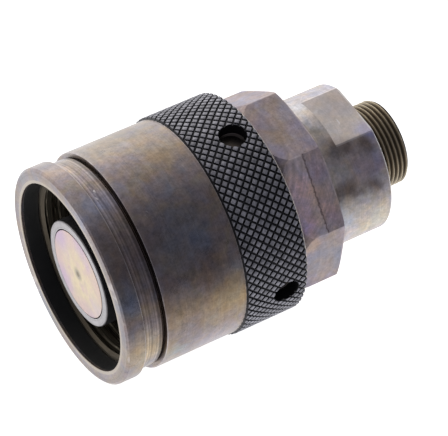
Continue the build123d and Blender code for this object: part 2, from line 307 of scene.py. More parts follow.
def octagon_radius(angles):
    """Distance from the axis to the octagon's face, with slightly rounded corners."""
    turn = (angles - OCTAGON_TURN + HALF_SIDE) % (2 * HALF_SIDE) - HALF_SIDE
    here = OCTAGON_APOTHEM / np.cos(turn)
    beside = OCTAGON_APOTHEM / np.cos(2 * HALF_SIDE - np.abs(turn))
    return soft_min(here, beside, 0.3)


OCTAGON_START = 58.4
PANEL_START = 67.1         # one side has a shallow panel behind this station
PANEL_DEPTH = 0.25
PANEL_TURN = OCTAGON_TURN + 2 * HALF_SIDE


def make_valve_body():
    start = OCTAGON_START
    corner_r = OCTAGON_APOTHEM / cos(HALF_SIDE) + 0.05
    front = Crown((start, OCTAGON_APOTHEM - 0.02), (60.6, 29.4), (65.2, corner_r))
    rear = Crown((72.45, corner_r), (72.94, 29.24), (body_end, OCTAGON_APOTHEM + 0.03))

    per_side = 52
    across = np.linspace(-1, 1, per_side, endpoint=False)
    in_side = np.sign(across) * (1 - (1 - np.abs(across)) ** 1.7) * HALF_SIDE    # closer near corners
    angles = np.concatenate([in_side + k * 2 * HALF_SIDE + OCTAGON_TURN for k in range(8)])
    flats = octagon_radius(angles)
    toward = np.cos(angles - PANEL_TURN)
    panel = np.where(toward > 0.9, (OCTAGON_APOTHEM - PANEL_DEPTH) / np.maximum(toward, 0.9), 99)
    low_flats = soft_min(flats, panel, 0.08)
    front_edge = front.station_at(flats, -1)
    rear_edge = rear.station_at(low_flats, 1)

    edge = np.array((-0.16, -0.08, -0.03, 0, 0.03, 0.08, 0.16))[:, None]
    crown_rows = start + np.linspace(0, 0.94, 9)[:, None] * (front_edge - start)
    rear_rows = rear_edge + np.linspace(0.3, 1, 5)[:, None] * (body_end - 0.03 - rear_edge)
    count = len(angles)
    stations = np.concatenate((
        crown_rows,
        np.maximum(front_edge + edge, start),
        np.full((1, count), PANEL_START - 0.03),
        np.full((1, count), PANEL_START + 0.03),
        np.minimum(rear_edge + edge, body_end - 0.02),
        rear_rows,
    ))
    limit = np.where(stations > PANEL_START, low_flats, flats)
    turned = np.minimum(front.radius_at(stations), rear.radius_at(stations))
    octagon = soft_min(limit, turned, 0.07)

    neck = rounded([
        (body_front, 17.25, 0.2),
        (body_front, 25.8, 0.4),
        (start, 25.8, 0),
    ])
    inside = rounded([
        (body_end, OCTAGON_APOTHEM - 0.12, 0),
        (body_end, 20.85, 0.15),
        (58.0, 20.85, 0),
        (58.0, 19.6, 0),
        (46.0, 19.6, 0),
        (46.0, 17.25, 0),
    ])
    stations = np.concatenate((
        np.repeat(neck[:, 0:1], count, 1), stations, np.repeat(inside[:, 0:1], count, 1)
    ))
    radii = np.concatenate((every_column(neck, count), octagon, every_column(inside, count)))
    return weighted(grid_mesh("octagon_body", stations, radii, angles))


PORT_R = 13.0
PORT_PITCH = 1.5
PORT_DEPTH = 0.9
FLATS_START = 81.0
FLAT_R = 20.5
CONE_DEPTH = 4.3
SOCKET_DEPTH = 7.5
SOCKET_R = 9.0
PASSAGE_R = 7.5


def port_thread(stations, angles):
    """Radius of the right-hand 60 degree thread on the port stud."""
    phase = (stations - shoulder) / PORT_PITCH - angles / (2 * pi)
    from_crest = np.abs(phase % 1 - 0.5) * PORT_PITCH
    depth = np.clip((from_crest - 0.1) * sqrt(3), 0, PORT_DEPTH)
    fade = np.clip((stations - shoulder - 0.5) / 0.5, 0, 1)
    radius = PORT_R - 0.02 - depth * fade - PORT_DEPTH * (1 - fade)
    return soft_min(radius, PORT_R - 0.7 + (adapter_end - stations), 0.08)


def make_adapter():
    front = rounded([
        (adapter_start, 15.0, 0),
        (adapter_start, 20.8, 0.4),
        (body_end + 0.05, 20.8, 0),
        (body_end + 0.05, adapter_r, 0.3),
    ])
    outer_rows = np.concatenate((
        (body_end + 1, FLATS_START - 0.35, FLATS_START - 0.1, FLATS_START - 0.04),
        (FLATS_START + 0.04, FLATS_START + 0.12, FLATS_START + 0.4, shoulder - 1.2),
        stretch(shoulder - 0.7, shoulder - 0.01, 0.08),
    ))
    edge_r = 0.5
    past_edge = np.clip(outer_rows - shoulder + edge_r, 0, edge_r)
    turned = adapter_r - edge_r + np.sqrt(edge_r ** 2 - past_edge ** 2)
    stud_rows = stretch(shoulder + 0.05, adapter_end - 0.03, 0.1)
    bore = rounded([
        (adapter_end, PORT_R - 0.75, 0),
        (adapter_end, 9.95, 0.1),
        (adapter_end - CONE_DEPTH, SOCKET_R, 0),
        (adapter_end - SOCKET_DEPTH, SOCKET_R, 0),
        (adapter_end - SOCKET_DEPTH, PASSAGE_R, 0.1),
        (84.0, PASSAGE_R, 0),
        (76.0, 15.0, 0),
    ])
    flat_edge = np.arccos(FLAT_R / adapter_r)
    near_edge = np.radians((-0.8, -0.4, -0.15, 0, 0.15, 0.4, 0.8))
    sides = (flat_edge, pi - flat_edge, pi + flat_edge, -flat_edge)
    edges = np.concatenate([near_edge + side for side in sides])
    apart = np.abs((around[:, None] - edges[None, :] + pi) % (2 * pi) - pi).min(1)
    angles = np.sort(np.concatenate((around[apart > radians(0.35)], edges % (2 * pi))))
    count = len(angles)
    flats = FLAT_R / np.maximum(np.abs(np.cos(angles)), 0.7)[None, :]
    milled = np.clip((outer_rows[:, None] - FLATS_START) / 0.04 + 0.5, 0, 1)
    limit = np.minimum(flats, 30) * milled + 30 * (1 - milled)
    cylinder = soft_min(limit, turned[:, None], 0.05)
    rows = np.concatenate((front[:, 0], outer_rows, (shoulder, shoulder), stud_rows, bore[:, 0]))[:, None]
    radii = np.concatenate((
        every_column(front, count),
        cylinder,
        soft_min(flats, adapter_r - edge_r, 0.05),
        np.full((1, count), PORT_R - PORT_DEPTH),
        port_thread(stud_rows[:, None], angles),
        every_column(bore, count),
    ))
    return weighted(grid_mesh("port_adapter", rows, radii, angles))


def make_nose_tube():
    return lathe("nose", [
        (nose_front, 13.62, 0.15),
        (nose_front, 16.1, 0.45),
        (30.0, 16.1, 0.5),
        (31.1, 17.2, 0.5),
        (46.0, 17.2, 0),
        (46.05, nose_flange_r, 0),
        (nose_end, nose_flange_r, 0),
        (nose_end, 15.6, 0),
        (32.0, 15.6, 0),
        (30.5, 14.6, 0),
        (14.0, 14.6, 0),
        (12.4, 13.5, 0),
        (nose_front + 0.5, 13.5, 0.1),
    ])


def make_poppet_head():
    return lathe("poppet_disc", [
        (poppet_front + 0.55, 0, 0),
        (poppet_front, 0.9, 0.15),
        (poppet_front, poppet_r - 0.12, 0.12),
        (poppet_front + 7.6, poppet_r - 0.02, 0.3),
        (poppet_front + 7.65, 6.0, 0.5),
        (poppet_end, 6.0, 0.3),
        (poppet_end, 4.05, 0),
        (8.0, 4.05, 0),
        (8.0, 0, 0),
    ])


SPRING_WIRE_R = 1.1
SPRING_COILS = 8


def make_poppet_spring():
    """Right-hand coil of round wire. The wire's section is square to the coil's slope."""
    steps, sides = 36, 14
    coil_r = radius_of("poppet_spring") - SPRING_WIRE_R
    start, end = spring_start + SPRING_WIRE_R, spring_end - SPRING_WIRE_R
    turn = np.linspace(0, 2 * pi * SPRING_COILS, SPRING_COILS * steps + 1)[:, None]
    across = np.linspace(0, 2 * pi, sides, endpoint=False)[None, :]
    slope = np.arctan2(end - start, turn[-1, 0] * coil_r)
    radii = np.repeat(coil_r + SPRING_WIRE_R * np.cos(across), len(turn), 0)
    stations = start + (end - start) * turn / turn[-1, 0] + SPRING_WIRE_R * np.sin(across) * cos(slope)
    lean = SPRING_WIRE_R * np.sin(across) * sin(slope)
    piece = grid_mesh("coil_spring", stations, radii, turn + pi - lean / radii, closed=False)
    bm = bmesh.new()
    bm.from_mesh(piece.data)
    bmesh.ops.holes_fill(bm, edges=[e for e in bm.edges if e.is_boundary], sides=sides)
    bm.to_mesh(piece.data)
    bm.free()
    tidy_mesh(piece)
    return piece


def make_dust_ring():
    return lathe("dust_band", [
        (dust_start, 28.5, 0.25),
        (dust_start, dust_outer_r, 0.2),
        (dust_end, dust_outer_r, 0.2),
        (dust_end, 28.5, 0.3),
    ])


# ---- knurled ring ----
KNURL_COUNT = 76           # grooves of each hand round the ring
KNURL_ROWS = 7             # diamonds from edge to edge
KNURL_DEPTH = 0.55
FRONT_CHAMFER = 0.2
REAR_CHAMFER = 0.5


def knurl_skin(start, end):
    """Open band of raised diamonds between two crossing sets of grooves. It runs past both ends."""
    pitch_round = 2 * pi / KNURL_COUNT
    pitch_along = (end - start) / KNURL_ROWS
    steps = np.array((0, 0.07, 0.17, 0.22, 0.5, 0.78, 0.83, 0.93, 1.0))      # across a diamond
    rise = np.array((0, 0.03, 0.93, 1, 1, 1, 0.93, 0.03, 0))                 # height there
    dome = 1 - 0.08 * (2 * steps - 1) ** 2
    height = np.minimum(rise[:, None], rise[None, :]) * np.minimum(dome[:, None], dome[None, :])
    size = len(steps)
    points, faces = [], []
    for i in range(KNURL_ROWS + 1):
        for j in range(KNURL_COUNT):
            for half in (0, 1):
                if half and i == KNURL_ROWS:
                    continue
                first = len(points)
                for a in range(size):
                    for b in range(size):
                        u, v = steps[a], steps[b]
                        along = i + half / 2 + (u + v - 1) / 2
                        angle = (j + half / 2 + (u - v) / 2) * pitch_round
                        radius = grip_r - KNURL_DEPTH * (1 - height[a, b])
                        points.append((start + along * pitch_along, radius, angle))
                for a in range(size - 1):
                    for b in range(size - 1):
                        k = first + a * size + b
                        faces.append((k, k + 1, k + size + 1, k + size))
    return np.array(points), faces


def make_grip_ring():
    """Knurled ring: the knurl's two cut edges are joined by the turned chamfers, bore and counterbore."""
    start, end = grip_start + FRONT_CHAMFER, grip_end - REAR_CHAMFER
    points, faces = knurl_skin(start, end)
    mesh = bpy.data.meshes.new("grip")
    mesh.from_pydata(turned_places(*points.T).tolist(), [], faces)
    bm = bmesh.new()
    bm.from_mesh(mesh)
    bmesh.ops.remove_doubles(bm, verts=bm.verts, dist=1e-5)
    for place, outward in ((start, -1), (end, 1)):
        everything = bm.verts[:] + bm.edges[:] + bm.faces[:]
        bmesh.ops.bisect_plane(
            bm, geom=everything, dist=1e-7, clear_outer=True,
            plane_co=(mouth_x + place * MM, 0, 0), plane_no=(outward, 0, 0),
        )
    bore_r, middle = NECK_R + 0.05, 44.0
    counterbore_r, counterbore_start = 31.4, 55.25
    front_profile = [(start - 0.05, 32.9), (grip_start, 32.7), (grip_start, bore_r), (middle, bore_r)]
    rear_profile = [
        (end + 0.1, 32.9),
        (grip_end, 32.6),
        (grip_end, counterbore_r),
        (counterbore_start, counterbore_r),
        (counterbore_start, bore_r),
        (middle, bore_r),
    ]
    for place, profile in ((start, front_profile), (end, rear_profile)):
        rim = [e for e in bm.edges if e.is_boundary and all(
            abs(v.co.x - mouth_x - place * MM) < 2e-6 for v in e.verts)]
        for s, r in profile:
            made = bmesh.ops.extrude_edge_only(bm, edges=rim)["geom"]
            for vert in [g for g in made if isinstance(g, bmesh.types.BMVert)]:
                scale = r * MM / sqrt(vert.co.y ** 2 + vert.co.z ** 2)
                vert.co = Vector((mouth_x + s * MM, vert.co.y * scale, vert.co.z * scale))
            rim = [g for g in made if isinstance(g, bmesh.types.BMEdge)]
    bmesh.ops.remove_doubles(bm, verts=bm.verts, dist=4e-6)
    bm.to_mesh(mesh)
    bm.free()
    piece = add_piece("grip", mesh)
    tidy_mesh(piece)
    drill_spanner_holes(piece, HOLE_DRILL)
    tidy_mesh(piece)
    return piece


def drill_spanner_holes(piece, profile):
    """Cuts four radial holes of the drill's profile, at quarter turns."""
    sides = 64
    for quarter in range(4):
        turn = SPANNER_TURN + quarter * pi / 2
        bm = bmesh.new()
        rings = []
        for height, radius in profile:
            ring = [
                bm.verts.new((
                    mouth_x + (SPANNER_STATION + radius * cos(a)) * MM, radius * sin(a) * MM, height * MM
                ))
                for a in np.linspace(0, 2 * pi, sides, endpoint=False)
            ]
            rings.append(ring)
        for low, high in zip(rings, rings[1:]):
            for k in range(sides):
                bm.faces.new((low[k], low[(k + 1) % sides], high[(k + 1) % sides], high[k]))
        bm.faces.new(list(reversed(rings[0])))
        bm.faces.new(rings[-1])
        bmesh.ops.recalc_face_normals(bm, faces=bm.faces)
        bmesh.ops.rotate(bm, verts=bm.verts, cent=(0, 0, 0), matrix=Matrix.Rotation(turn, 3, "X"))
        drill_mesh = bpy.data.meshes.new("drill")
        bm.to_mesh(drill_mesh)
        bm.free()
        drill = add_piece("drill", drill_mesh)
        cut = piece.modifiers.new("cut", "BOOLEAN")
        cut.operation = "DIFFERENCE"
        cut.solver = "EXACT"
        cut.object = drill
        bpy.context.view_layer.update()
        result = bpy.data.meshes.new_from_object(
            piece.evaluated_get(bpy.context.evaluated_depsgraph_get())
        )
        piece.modifiers.clear()
        piece.data = result
        bpy.data.objects.remove(drill)


# ---- materials ----
COLOUR_SOCKETS = (0, 6, 7)      # the mix node's factor and its two colours


class Nodes:
    """Short way to write the node tree of a material or a world."""

    def __init__(self, owner):
        self.owner = owner
        owner.use_nodes = True
        self.tree = owner.node_tree
        self.tree.nodes.clear()
        self.coordinates = self.add("TexCoord").outputs
        self.place = self.coordinates["Object"]

    def add(self, kind, sockets=None, **settings):
        """New node, with values or links for the sockets named."""
        node = self.tree.nodes.new("ShaderNode" + kind)
        for key, value in settings.items():
            setattr(node, key, value)
        for key, value in (sockets or {}).items():
            self.fill(node.inputs[key], value)
        return node

    def fill(self, socket, value):
        """Links the socket to another node's output, or sets its value."""
        if isinstance(value, bpy.types.NodeSocket):
            self.tree.links.new(value, socket)
        else:
            socket.default_value = value

    def math(self, operation, *values):
        return self.add("Math", dict(enumerate(values)), operation=operation).outputs[0]

    def vector(self, operation, *values, result="Vector"):
        return self.add("VectorMath", dict(enumerate(values)), operation=operation).outputs[result]

    def noise(self, scale, detail=3.0, roughness=0.55, stretch_by=(1, 1, 1), distortion=0.0):
        return self.add("TexNoise", {
            "Vector": self.vector("MULTIPLY", self.place, stretch_by),
            "Scale": scale,
            "Detail": detail,
            "Roughness": roughness,
            "Distortion": distortion,
        }).outputs["Fac"]

    def parts(self, place):
        """The X, Y and Z of a place."""
        return self.add("SeparateXYZ", {0: place}).outputs

    def along_and_out(self):
        """The place along the axis, and its distance from the axis."""
        split = self.parts(self.place)
        yy = self.math("MULTIPLY", split["Y"], split["Y"])
        zz = self.math("MULTIPLY", split["Z"], split["Z"])
        return split["X"], self.math("SQRT", self.math("ADD", yy, zz))

    def station_and_out(self):
        """The place's station and its distance from the axis, in metres."""
        along, out = self.along_and_out()
        return self.math("SUBTRACT", along, mouth_x), out

    def streaks(self, distance, per_metre, detail):
        """Noise that changes only with a distance."""
        sockets = {"W": distance, "Scale": per_metre, "Detail": detail}
        return self.add("TexNoise", sockets, noise_dimensions="1D").outputs["Fac"]

    def rings(self, per_metre, detail=2.0):
        """Noise that changes only along and away from the axis, as the marks of a turning tool do."""
        along, out = self.along_and_out()
        return self.streaks(self.math("ADD", along, out), per_metre, detail)

    def cloudy(self):
        """Soft noise that breaks up a pale edge: wear and a painted highlight."""
        return self.noise(240, 3.0, 0.55)

    def past(self, value, start, end):
        """0 before the first and 1 past the second of two lengths in millimetres."""
        return self.range(value, start * MM, end * MM, 0, 1)

    def before(self, value, start, end):
        """1 before the first and 0 past the second of two lengths in millimetres."""
        return self.range(value, start * MM, end * MM, 1, 0)

    def band(self, value, start, end, soft=0.1):
        """1 between two lengths in millimetres, fading over a soft edge outside them."""
        return self.both(self.past(value, start - soft, start), self.before(value, end, end + soft))

    def both(self, first, second):
        """1 where two masks are both 1."""
        return self.math("MULTIPLY", first, second)

    def shaded(self, colour, factor):
        """The colour, made lighter or darker by a factor."""
        return self.mix(1.0, colour, factor, "MULTIPLY")

    def shaded_where(self, colour, mask, factor):
        """The colour, made lighter or darker where the mask is 1."""
        return self.shaded(colour, self.range(mask, 0, 1, 1.0, factor))

    def spread(self, noise, low, high):
        """The usual values of a noise, spread from low to high."""
        return self.range(noise, 0.3, 0.7, low, high)

    def varied(self, colour, noise, low, high):
        """The colour, made darker and lighter by a noise."""
        return self.shaded(colour, self.spread(noise, low, high))

    def painted(self, colour, mask, strength, paint):
        """The colour, with paint of some strength over it where the mask is 1."""
        return self.mix(self.both(mask, strength), colour, paint)

    def edges(self, low, high):
        """1 along sharp outer edges, 0 on smooth faces and in corners. It marks where edges are painted
        paler.
        """
        wear_and_highlight = self.add("NewGeometry").outputs["Pointiness"]
        return self.range(wear_and_highlight, low, high, 0, 1)

    def toward(self, angle):
        """How far the place lies from the axis towards an angle in radians."""
        direction = (0, -sin(angle), cos(angle))
        return self.vector("DOT_PRODUCT", self.place, direction, result="Value")

    def wandering(self, scale, amount):
        """The place, shifted by noise so that a patch's edge wanders."""
        noise = self.add("TexNoise", {"Vector": self.place, "Scale": scale, "Detail": 4.0})
        shifted = self.vector("MULTIPLY_ADD", noise.outputs["Color"], (amount,) * 3, self.place)
        return self.vector("SUBTRACT", shifted, (amount / 2,) * 3)

    def spot(self, place, centre, size, softness):
        """1 inside an ellipsoid, fading to 0 at its surface."""
        scaled = self.vector("DIVIDE", self.vector("SUBTRACT", place, centre), size)
        length = self.vector("LENGTH", scaled, result="Value")
        return self.range(length, 1 - softness, 1, 1, 0, "SMOOTHSTEP")

    def ramp(self, value, *stops):
        node = self.add("ValToRGB", {0: value})
        elements = node.color_ramp.elements
        while len(elements) < len(stops):
            elements.new(0.5)
        for element, (position, colour) in zip(elements, stops):
            element.position = position
            element.color = (*colour, 1)
        return node.outputs[0]

    def mix(self, factor, first, second, blend="MIX"):
        """Two colours, mixed by a factor. Each is a tuple, or a link to a colour or a grey value."""
        colours = [(*colour, 1) if isinstance(colour, tuple) else colour for colour in (first, second)]
        sockets = dict(zip(COLOUR_SOCKETS, (factor, *colours)))
        return self.add("Mix", sockets, data_type="RGBA", blend_type=blend).outputs[2]

    def range(self, value, low, high, to_low, to_high, interpolation="LINEAR"):
        sockets = {"Value": value, "From Min": low, "From Max": high, "To Min": to_low, "To Max": to_high}
        return self.add("MapRange", sockets, interpolation_type=interpolation).outputs["Result"]

    def bump(self, height, strength, distance, below=None):
        node = self.add("Bump", {"Strength": strength, "Distance": distance, "Height": height})
        if below is not None:
            self.fill(node.inputs["Normal"], below)
        return node.outputs["Normal"]


class Paint(Nodes):
    """Node tree of a new material round one shader."""

    def __init__(self, name):
        super().__init__(bpy.data.materials.new(name))
        self.shader = self.add("BsdfPrincipled")
        self.add("OutputMaterial", {"Surface": self.shader.outputs["BSDF"]})

    def finish(self, colour, roughness, normal=None, metallic=0.0):
        """Fills the shader's sockets and returns the material."""
        sockets = {"Base Color": colour, "Roughness": roughness, "Normal": normal, "Metallic": metallic}
        for key, value in sockets.items():
            if value is not None:
                self.fill(self.shader.inputs[key], value)
        return self.owner


def on_surface(station, angle, radius):
    """Place in metres of a point given in millimetres and degrees."""
    turn = radians(angle)
    return (mouth_x + station * MM, -radius * sin(turn) * MM, radius * cos(turn) * MM)


def tinted_steel(name, radius, patches, base, roughness_range, marks_strength):
    """Steel with a thin plating: soft patches of brown, gold, purple and slate over a faint mottle. The
    patches are partly the plating's tint and partly painted reflections and highlights. Outer edges are
    painted paler, partly as wear and partly as a painted highlight.

    Each patch is (station, angle, size in mm, colour, strength)."""
    n = Paint(name)
    broad = n.noise(38, 2.0, 0.5, (0.8, 1, 1), 0.8)
    medium = n.noise(120, 2.0, 0.5, (1.1, 1, 1), 0.6)
    where = n.math("ADD", n.math("MULTIPLY", broad, 0.6), n.math("MULTIPLY", medium, 0.4))
    warm, cool, violet = base
    tint = n.ramp(where, (0.34, cool), (0.44, violet), (0.5, warm), (0.57, violet), (0.66, cool))
    wander = n.wandering(80, 0.012)
    for station, angle, size, colour, strength in patches:
        spot = n.spot(wander, on_surface(station, angle, radius), (size * MM,) * 3, 0.85)
        tint = n.painted(tint, spot, strength, colour)
    bloom = n.noise(190, 2.5, 0.5, (1.2, 1, 1), 0.5)
    tint = n.shaded(tint, n.ramp(bloom, (0.34, (0.93, 0.985, 1.09)), (0.66, (1.07, 1.005, 0.92))))
    cloud = n.noise(430, 5.0, 0.66)
    tint = n.varied(tint, cloud, 0.78, 1.22)
    tint = n.varied(tint, n.noise(1500, 3.0, 0.6), 0.87, 1.13)
    tint = n.varied(tint, n.rings(520, 2.0), 0.94, 1.06)
    tint = n.varied(tint, n.rings(2800, 3.0), 0.95, 1.05)
    speck = n.noise(1900, 2.0, 0.5)
    tint = n.mix(n.range(speck, 0.66, 0.74, 0.0, 0.35), tint, (0.09, 0.08, 0.08))
    scratch = n.noise(300, 2.0, 0.6, (1.6, 0.7, 0.9), 2.5)
    tint = n.mix(n.range(scratch, 0.74, 0.78, 0.0, 0.3), tint, (0.6, 0.57, 0.6))
    # Outer edges painted paler: partly wear, partly a painted highlight.
    wear_and_highlight = n.both(n.edges(0.52, 0.6), n.range(bloom, 0.3, 0.6, 0.35, 0.6))
    tint = n.mix(wear_and_highlight, tint, (0.52, 0.47, 0.46))
    smear = n.noise(70, 4.0, 0.6, (2.0, 1, 1))
    low, high = roughness_range
    roughness = n.math("ADD", n.spread(smear, low, high), n.spread(cloud, -0.03, 0.06))
    normal = n.bump(n.rings(4200, 3.0), marks_strength, 0.00003)
    normal = n.bump(cloud, 0.2, 0.00006, normal)
    return n, tint, roughness, normal


def nicks(n, tint, radius, marks):
    """Small bright dents, each (station, angle, length along, length round, strength)."""
    wander = n.wandering(700, 0.0012)
    for station, angle, along, across, strength in marks:
        size = (along * MM, across * MM, across * MM)
        spot = n.spot(wander, on_surface(station, angle, radius), size, 0.5)
        tint = n.painted(tint, spot, strength, (0.8, 0.77, 0.8))
    return tint


def sleeve_steel():
    """Turned sleeve: rims with polish and a painted highlight, painted shade on the step behind the groove,
    and painted light and shade on the thread.
    """
    patches = [
        # Patches of plating tint, partly painted reflections of the studio on the barrel, collar and face.
        (22, 36, 16, (0.195, 0.195, 0.225), 0.75),
        (28, 44, 7, (0.2, 0.215, 0.27), 0.8),
        (16, 28, 8, (0.225, 0.19, 0.2), 0.7),
        (8, 38, 12, (0.2, 0.155, 0.155), 0.7),
        (33, 78, 13, (0.38, 0.285, 0.165), 0.85),
        (17, 76, 10, (0.33, 0.25, 0.17), 0.7),
        (32, -8, 11, (0.31, 0.25, 0.19), 0.8),
        (20, -10, 8, (0.255, 0.215, 0.235), 0.6),
        (15, 102, 6, (0.24, 0.28, 0.31), 0.8),
        (29, 110, 11, (0.36, 0.3, 0.33), 0.7),
        (20, -34, 15, (0.32, 0.275, 0.225), 0.7),
        (27, 60, 8, (0.2, 0.155, 0.145), 0.8),
        (15, 57, 7, (0.21, 0.165, 0.17), 0.7),
        (9, 4, 8, (0.26, 0.255, 0.33), 0.8),
        (2, 8, 9, (0.27, 0.27, 0.33), 0.8),
        (2, 56, 7, (0.23, 0.25, 0.32), 0.8),
        (4, 32, 6, (0.24, 0.2, 0.19), 0.6),
        (5, 86, 9, (0.4, 0.32, 0.22), 0.8),
        (9, 97, 8, (0.44, 0.35, 0.22), 0.75),
        (6, -28, 7, (0.38, 0.31, 0.27), 0.7),
        (0, 205, 12, (0.23, 0.23, 0.24), 0.8),
    ]
    base = ((0.28, 0.236, 0.2), (0.228, 0.224, 0.25), (0.258, 0.216, 0.222))
    n, tint, roughness, normal = tinted_steel("sleeve_steel", barrel_r, patches, base, (0.24, 0.34), 0.2)
    station, out = n.station_and_out()
    inside = n.before(out, MOUTH_R - 0.05, MOUTH_R + 0.05)
    olive, umber, brown = (0.26, 0.235, 0.18), (0.09, 0.075, 0.06), (0.1, 0.085, 0.065)
    # Inside the mouth the thread gets painted shade, dark umber, with olive painted highlights in bands.
    mouth_thread_light_and_shade = n.ramp(n.rings(2100, 3.0), (0.38, umber), (0.5, olive), (0.62, brown))
    tint = n.mix(n.both(inside, n.past(station, 3, 6)), tint, mouth_thread_light_and_shade)
    groove_floor = n.band(out, GROOVE_R - 0.2, GROOVE_R + 0.2)
    groove = n.both(n.band(station, COLLAR_END + 0.1, STEP_START - 0.4, 0.2), groove_floor)
    turned = n.range(n.rings(1500, 3.0), 0.35, 0.65, 0.72, 1.28)
    tint = n.mix(groove, tint, n.shaded(tint, turned))
    # Painted shade: the crevice at the step before the barrel is painted dark brown.
    crevice_shade = n.both(
        n.band(station, STEP_START - 0.2, BARREL_START + 0.1), n.band(out, STEP_R - 0.2, STEP_R + 0.7)
    )
    tint = n.painted(tint, crevice_shade, 0.7, (0.085, 0.064, 0.05))
    # Painted shade: the groove is darker where it ends at the step.
    groove_end_shade = n.both(
        n.band(station, STEP_START - 1.2, STEP_START - 0.2, 0.5), n.band(out, STEP_R - 0.2, GROOVE_R + 0.1)
    )
    tint = n.shaded_where(tint, groove_end_shade, 0.7)
    collar_rim = n.band(station, COLLAR_END - 0.2, COLLAR_END + 0.05)
    rims = n.math("ADD", collar_rim, n.band(station, BARREL_START - 0.1, BARREL_START + 0.15))
    rims = n.math("ADD", rims, n.band(station, grip_start - 0.3, grip_start - 0.05))
    rims = n.both(rims, n.past(out, barrel_r - 0.45, barrel_r - 0.25))
    # Rim edges are painted paler: partly polish, partly a painted highlight.
    polish_and_highlight = n.both(rims, n.range(n.cloudy(), 0.35, 0.6, 0.2, 0.75))
    tint = n.mix(polish_and_highlight, tint, (0.55, 0.51, 0.52))
    front = n.before(station, 0.1, 0.3)
    # Painted shade: the front face is made a little darker.
    tint = n.shaded_where(tint, front, 0.92)
    lip_highlight = n.both(front, n.band(out, MOUTH_R - 0.1, MOUTH_R + 0.9, 0.2))
    # Painted highlight: a cream band along the lip of the mouth.
    tint = n.painted(tint, lip_highlight, 0.7, (0.42, 0.37, 0.3))
    # Painted shade: the bottoms of the spanner holes are painted near black.
    hole_bottom_shade = n.both(n.band(station, 46.0, 56.0), n.before(out, NECK_R - 0.1, NECK_R - 0.02))
    tint = n.painted(tint, hole_bottom_shade, 0.85, (0.05, 0.045, 0.04))
    # A thin ring of the front face is made darker.
    darker_face_ring = n.both(front, n.band(out, 30.9, 31.1, 0.15))
    tint = n.shaded_where(tint, darker_face_ring, 0.82)
    tint = nicks(n, tint, 32, (
        (8.4, -2, 0.5, 1.0, 0.8), (7.6, 3, 0.4, 0.9, 0.8), (9.2, 1, 0.9, 0.3, 0.7),
        (21, 3, 0.9, 0.4, 0.6), (21.8, 8, 0.7, 0.5, 0.4), (30.5, 22, 0.4, 0.4, 0.5),
    ))
    roughness = n.math("ADD", roughness, n.math("MULTIPLY", inside, 0.25))
    return n.finish(tint, roughness, normal, metallic=1.0)


def body_steel():
    """Milled octagon. One side is duller and is painted lighter as a painted highlight, with the cutter's
    arcs and a painted shadow along the ragged step in front of its panel.
    """
    patches = [
        # Plating tints. The pale pink patch at 44 degrees and the peach patch at 74 degrees are painted
        # highlights.
        (61, -2, 6, (0.33, 0.27, 0.32), 0.8),
        (65, 6, 8, (0.39, 0.33, 0.31), 0.8),
        (71.5, 6, 5, (0.4, 0.35, 0.46), 0.8),
        (72, -6, 5, (0.4, 0.38, 0.45), 0.8),
        (61, 22, 6, (0.34, 0.31, 0.42), 0.85),
        (63, 44, 8, (0.56, 0.41, 0.45), 0.85),
        (62, 60, 6, (0.5, 0.38, 0.54), 0.85),
        (70, 34, 5, (0.38, 0.3, 0.38), 0.9),
        (70, 48, 6, (0.5, 0.35, 0.28), 0.9),
        (71, 60, 6, (0.44, 0.33, 0.42), 0.8),
        (60.5, 74, 5, (0.6, 0.46, 0.38), 0.9),
        (66, 90, 9, (0.38, 0.36, 0.4), 0.8),
        (72, 100, 6, (0.32, 0.33, 0.4), 0.7),
        (72, 20, 5, (0.36, 0.31, 0.38), 0.7),
    ]
    base = ((0.415, 0.35, 0.33), (0.385, 0.35, 0.4), (0.405, 0.345, 0.375))
    n, tint, roughness, normal = tinted_steel("body_steel", 29, patches, base, (0.46, 0.58), 0.06)
    station, out = n.station_and_out()
    dull_side_painted_lighter = n.past(n.toward(PANEL_TURN), OCTAGON_APOTHEM - 0.45, OCTAGON_APOTHEM - 0.3)
    from_cutter = n.vector("DISTANCE", n.place, on_surface(48, 20, 30), result="Value")
    arcs = n.streaks(from_cutter, 900, 3.0)
    tint = n.mix(dull_side_painted_lighter, tint, n.varied(tint, arcs, 0.88, 1.12))
    # Painted highlight: this side's colour is made half again as light.
    tint = n.shaded_where(tint, dull_side_painted_lighter, 1.5)
    rough_station = n.math("ADD", station, n.spread(n.noise(900, 3.0, 0.6), -0.3 * MM, 0.3 * MM))
    # Painted shadow: a dark ragged line along the step in front of the panel.
    step_shadow = n.both(dull_side_painted_lighter, n.band(rough_station, PANEL_START - 0.15, PANEL_START + 0.2, 0.3))
    tint = n.painted(tint, step_shadow, 0.7, (0.14, 0.09, 0.09))
    panel = n.both(dull_side_painted_lighter, n.past(station, PANEL_START, PANEL_START + 0.2))
    tint = n.shaded_where(tint, panel, 0.85)
    corners = n.past(out, 30.1, 30.25)
    rim = n.math("MAXIMUM", corners, n.band(station, body_end - 0.35, body_end))
    # Corner lines and the rear rim are painted paler: partly polish, partly painted highlights.
    polish_and_highlight = n.both(rim, n.range(n.cloudy(), 0.35, 0.6, 0.15, 0.7))
    tint = n.mix(polish_and_highlight, tint, (0.7, 0.62, 0.63))
    roughness = n.math("ADD", roughness, n.range(dull_side_painted_lighter, 0, 1, 0.0, 0.2))
    return n.finish(tint, roughness, normal, metallic=n.range(dull_side_painted_lighter, 0, 1, 0.8, 0.3))


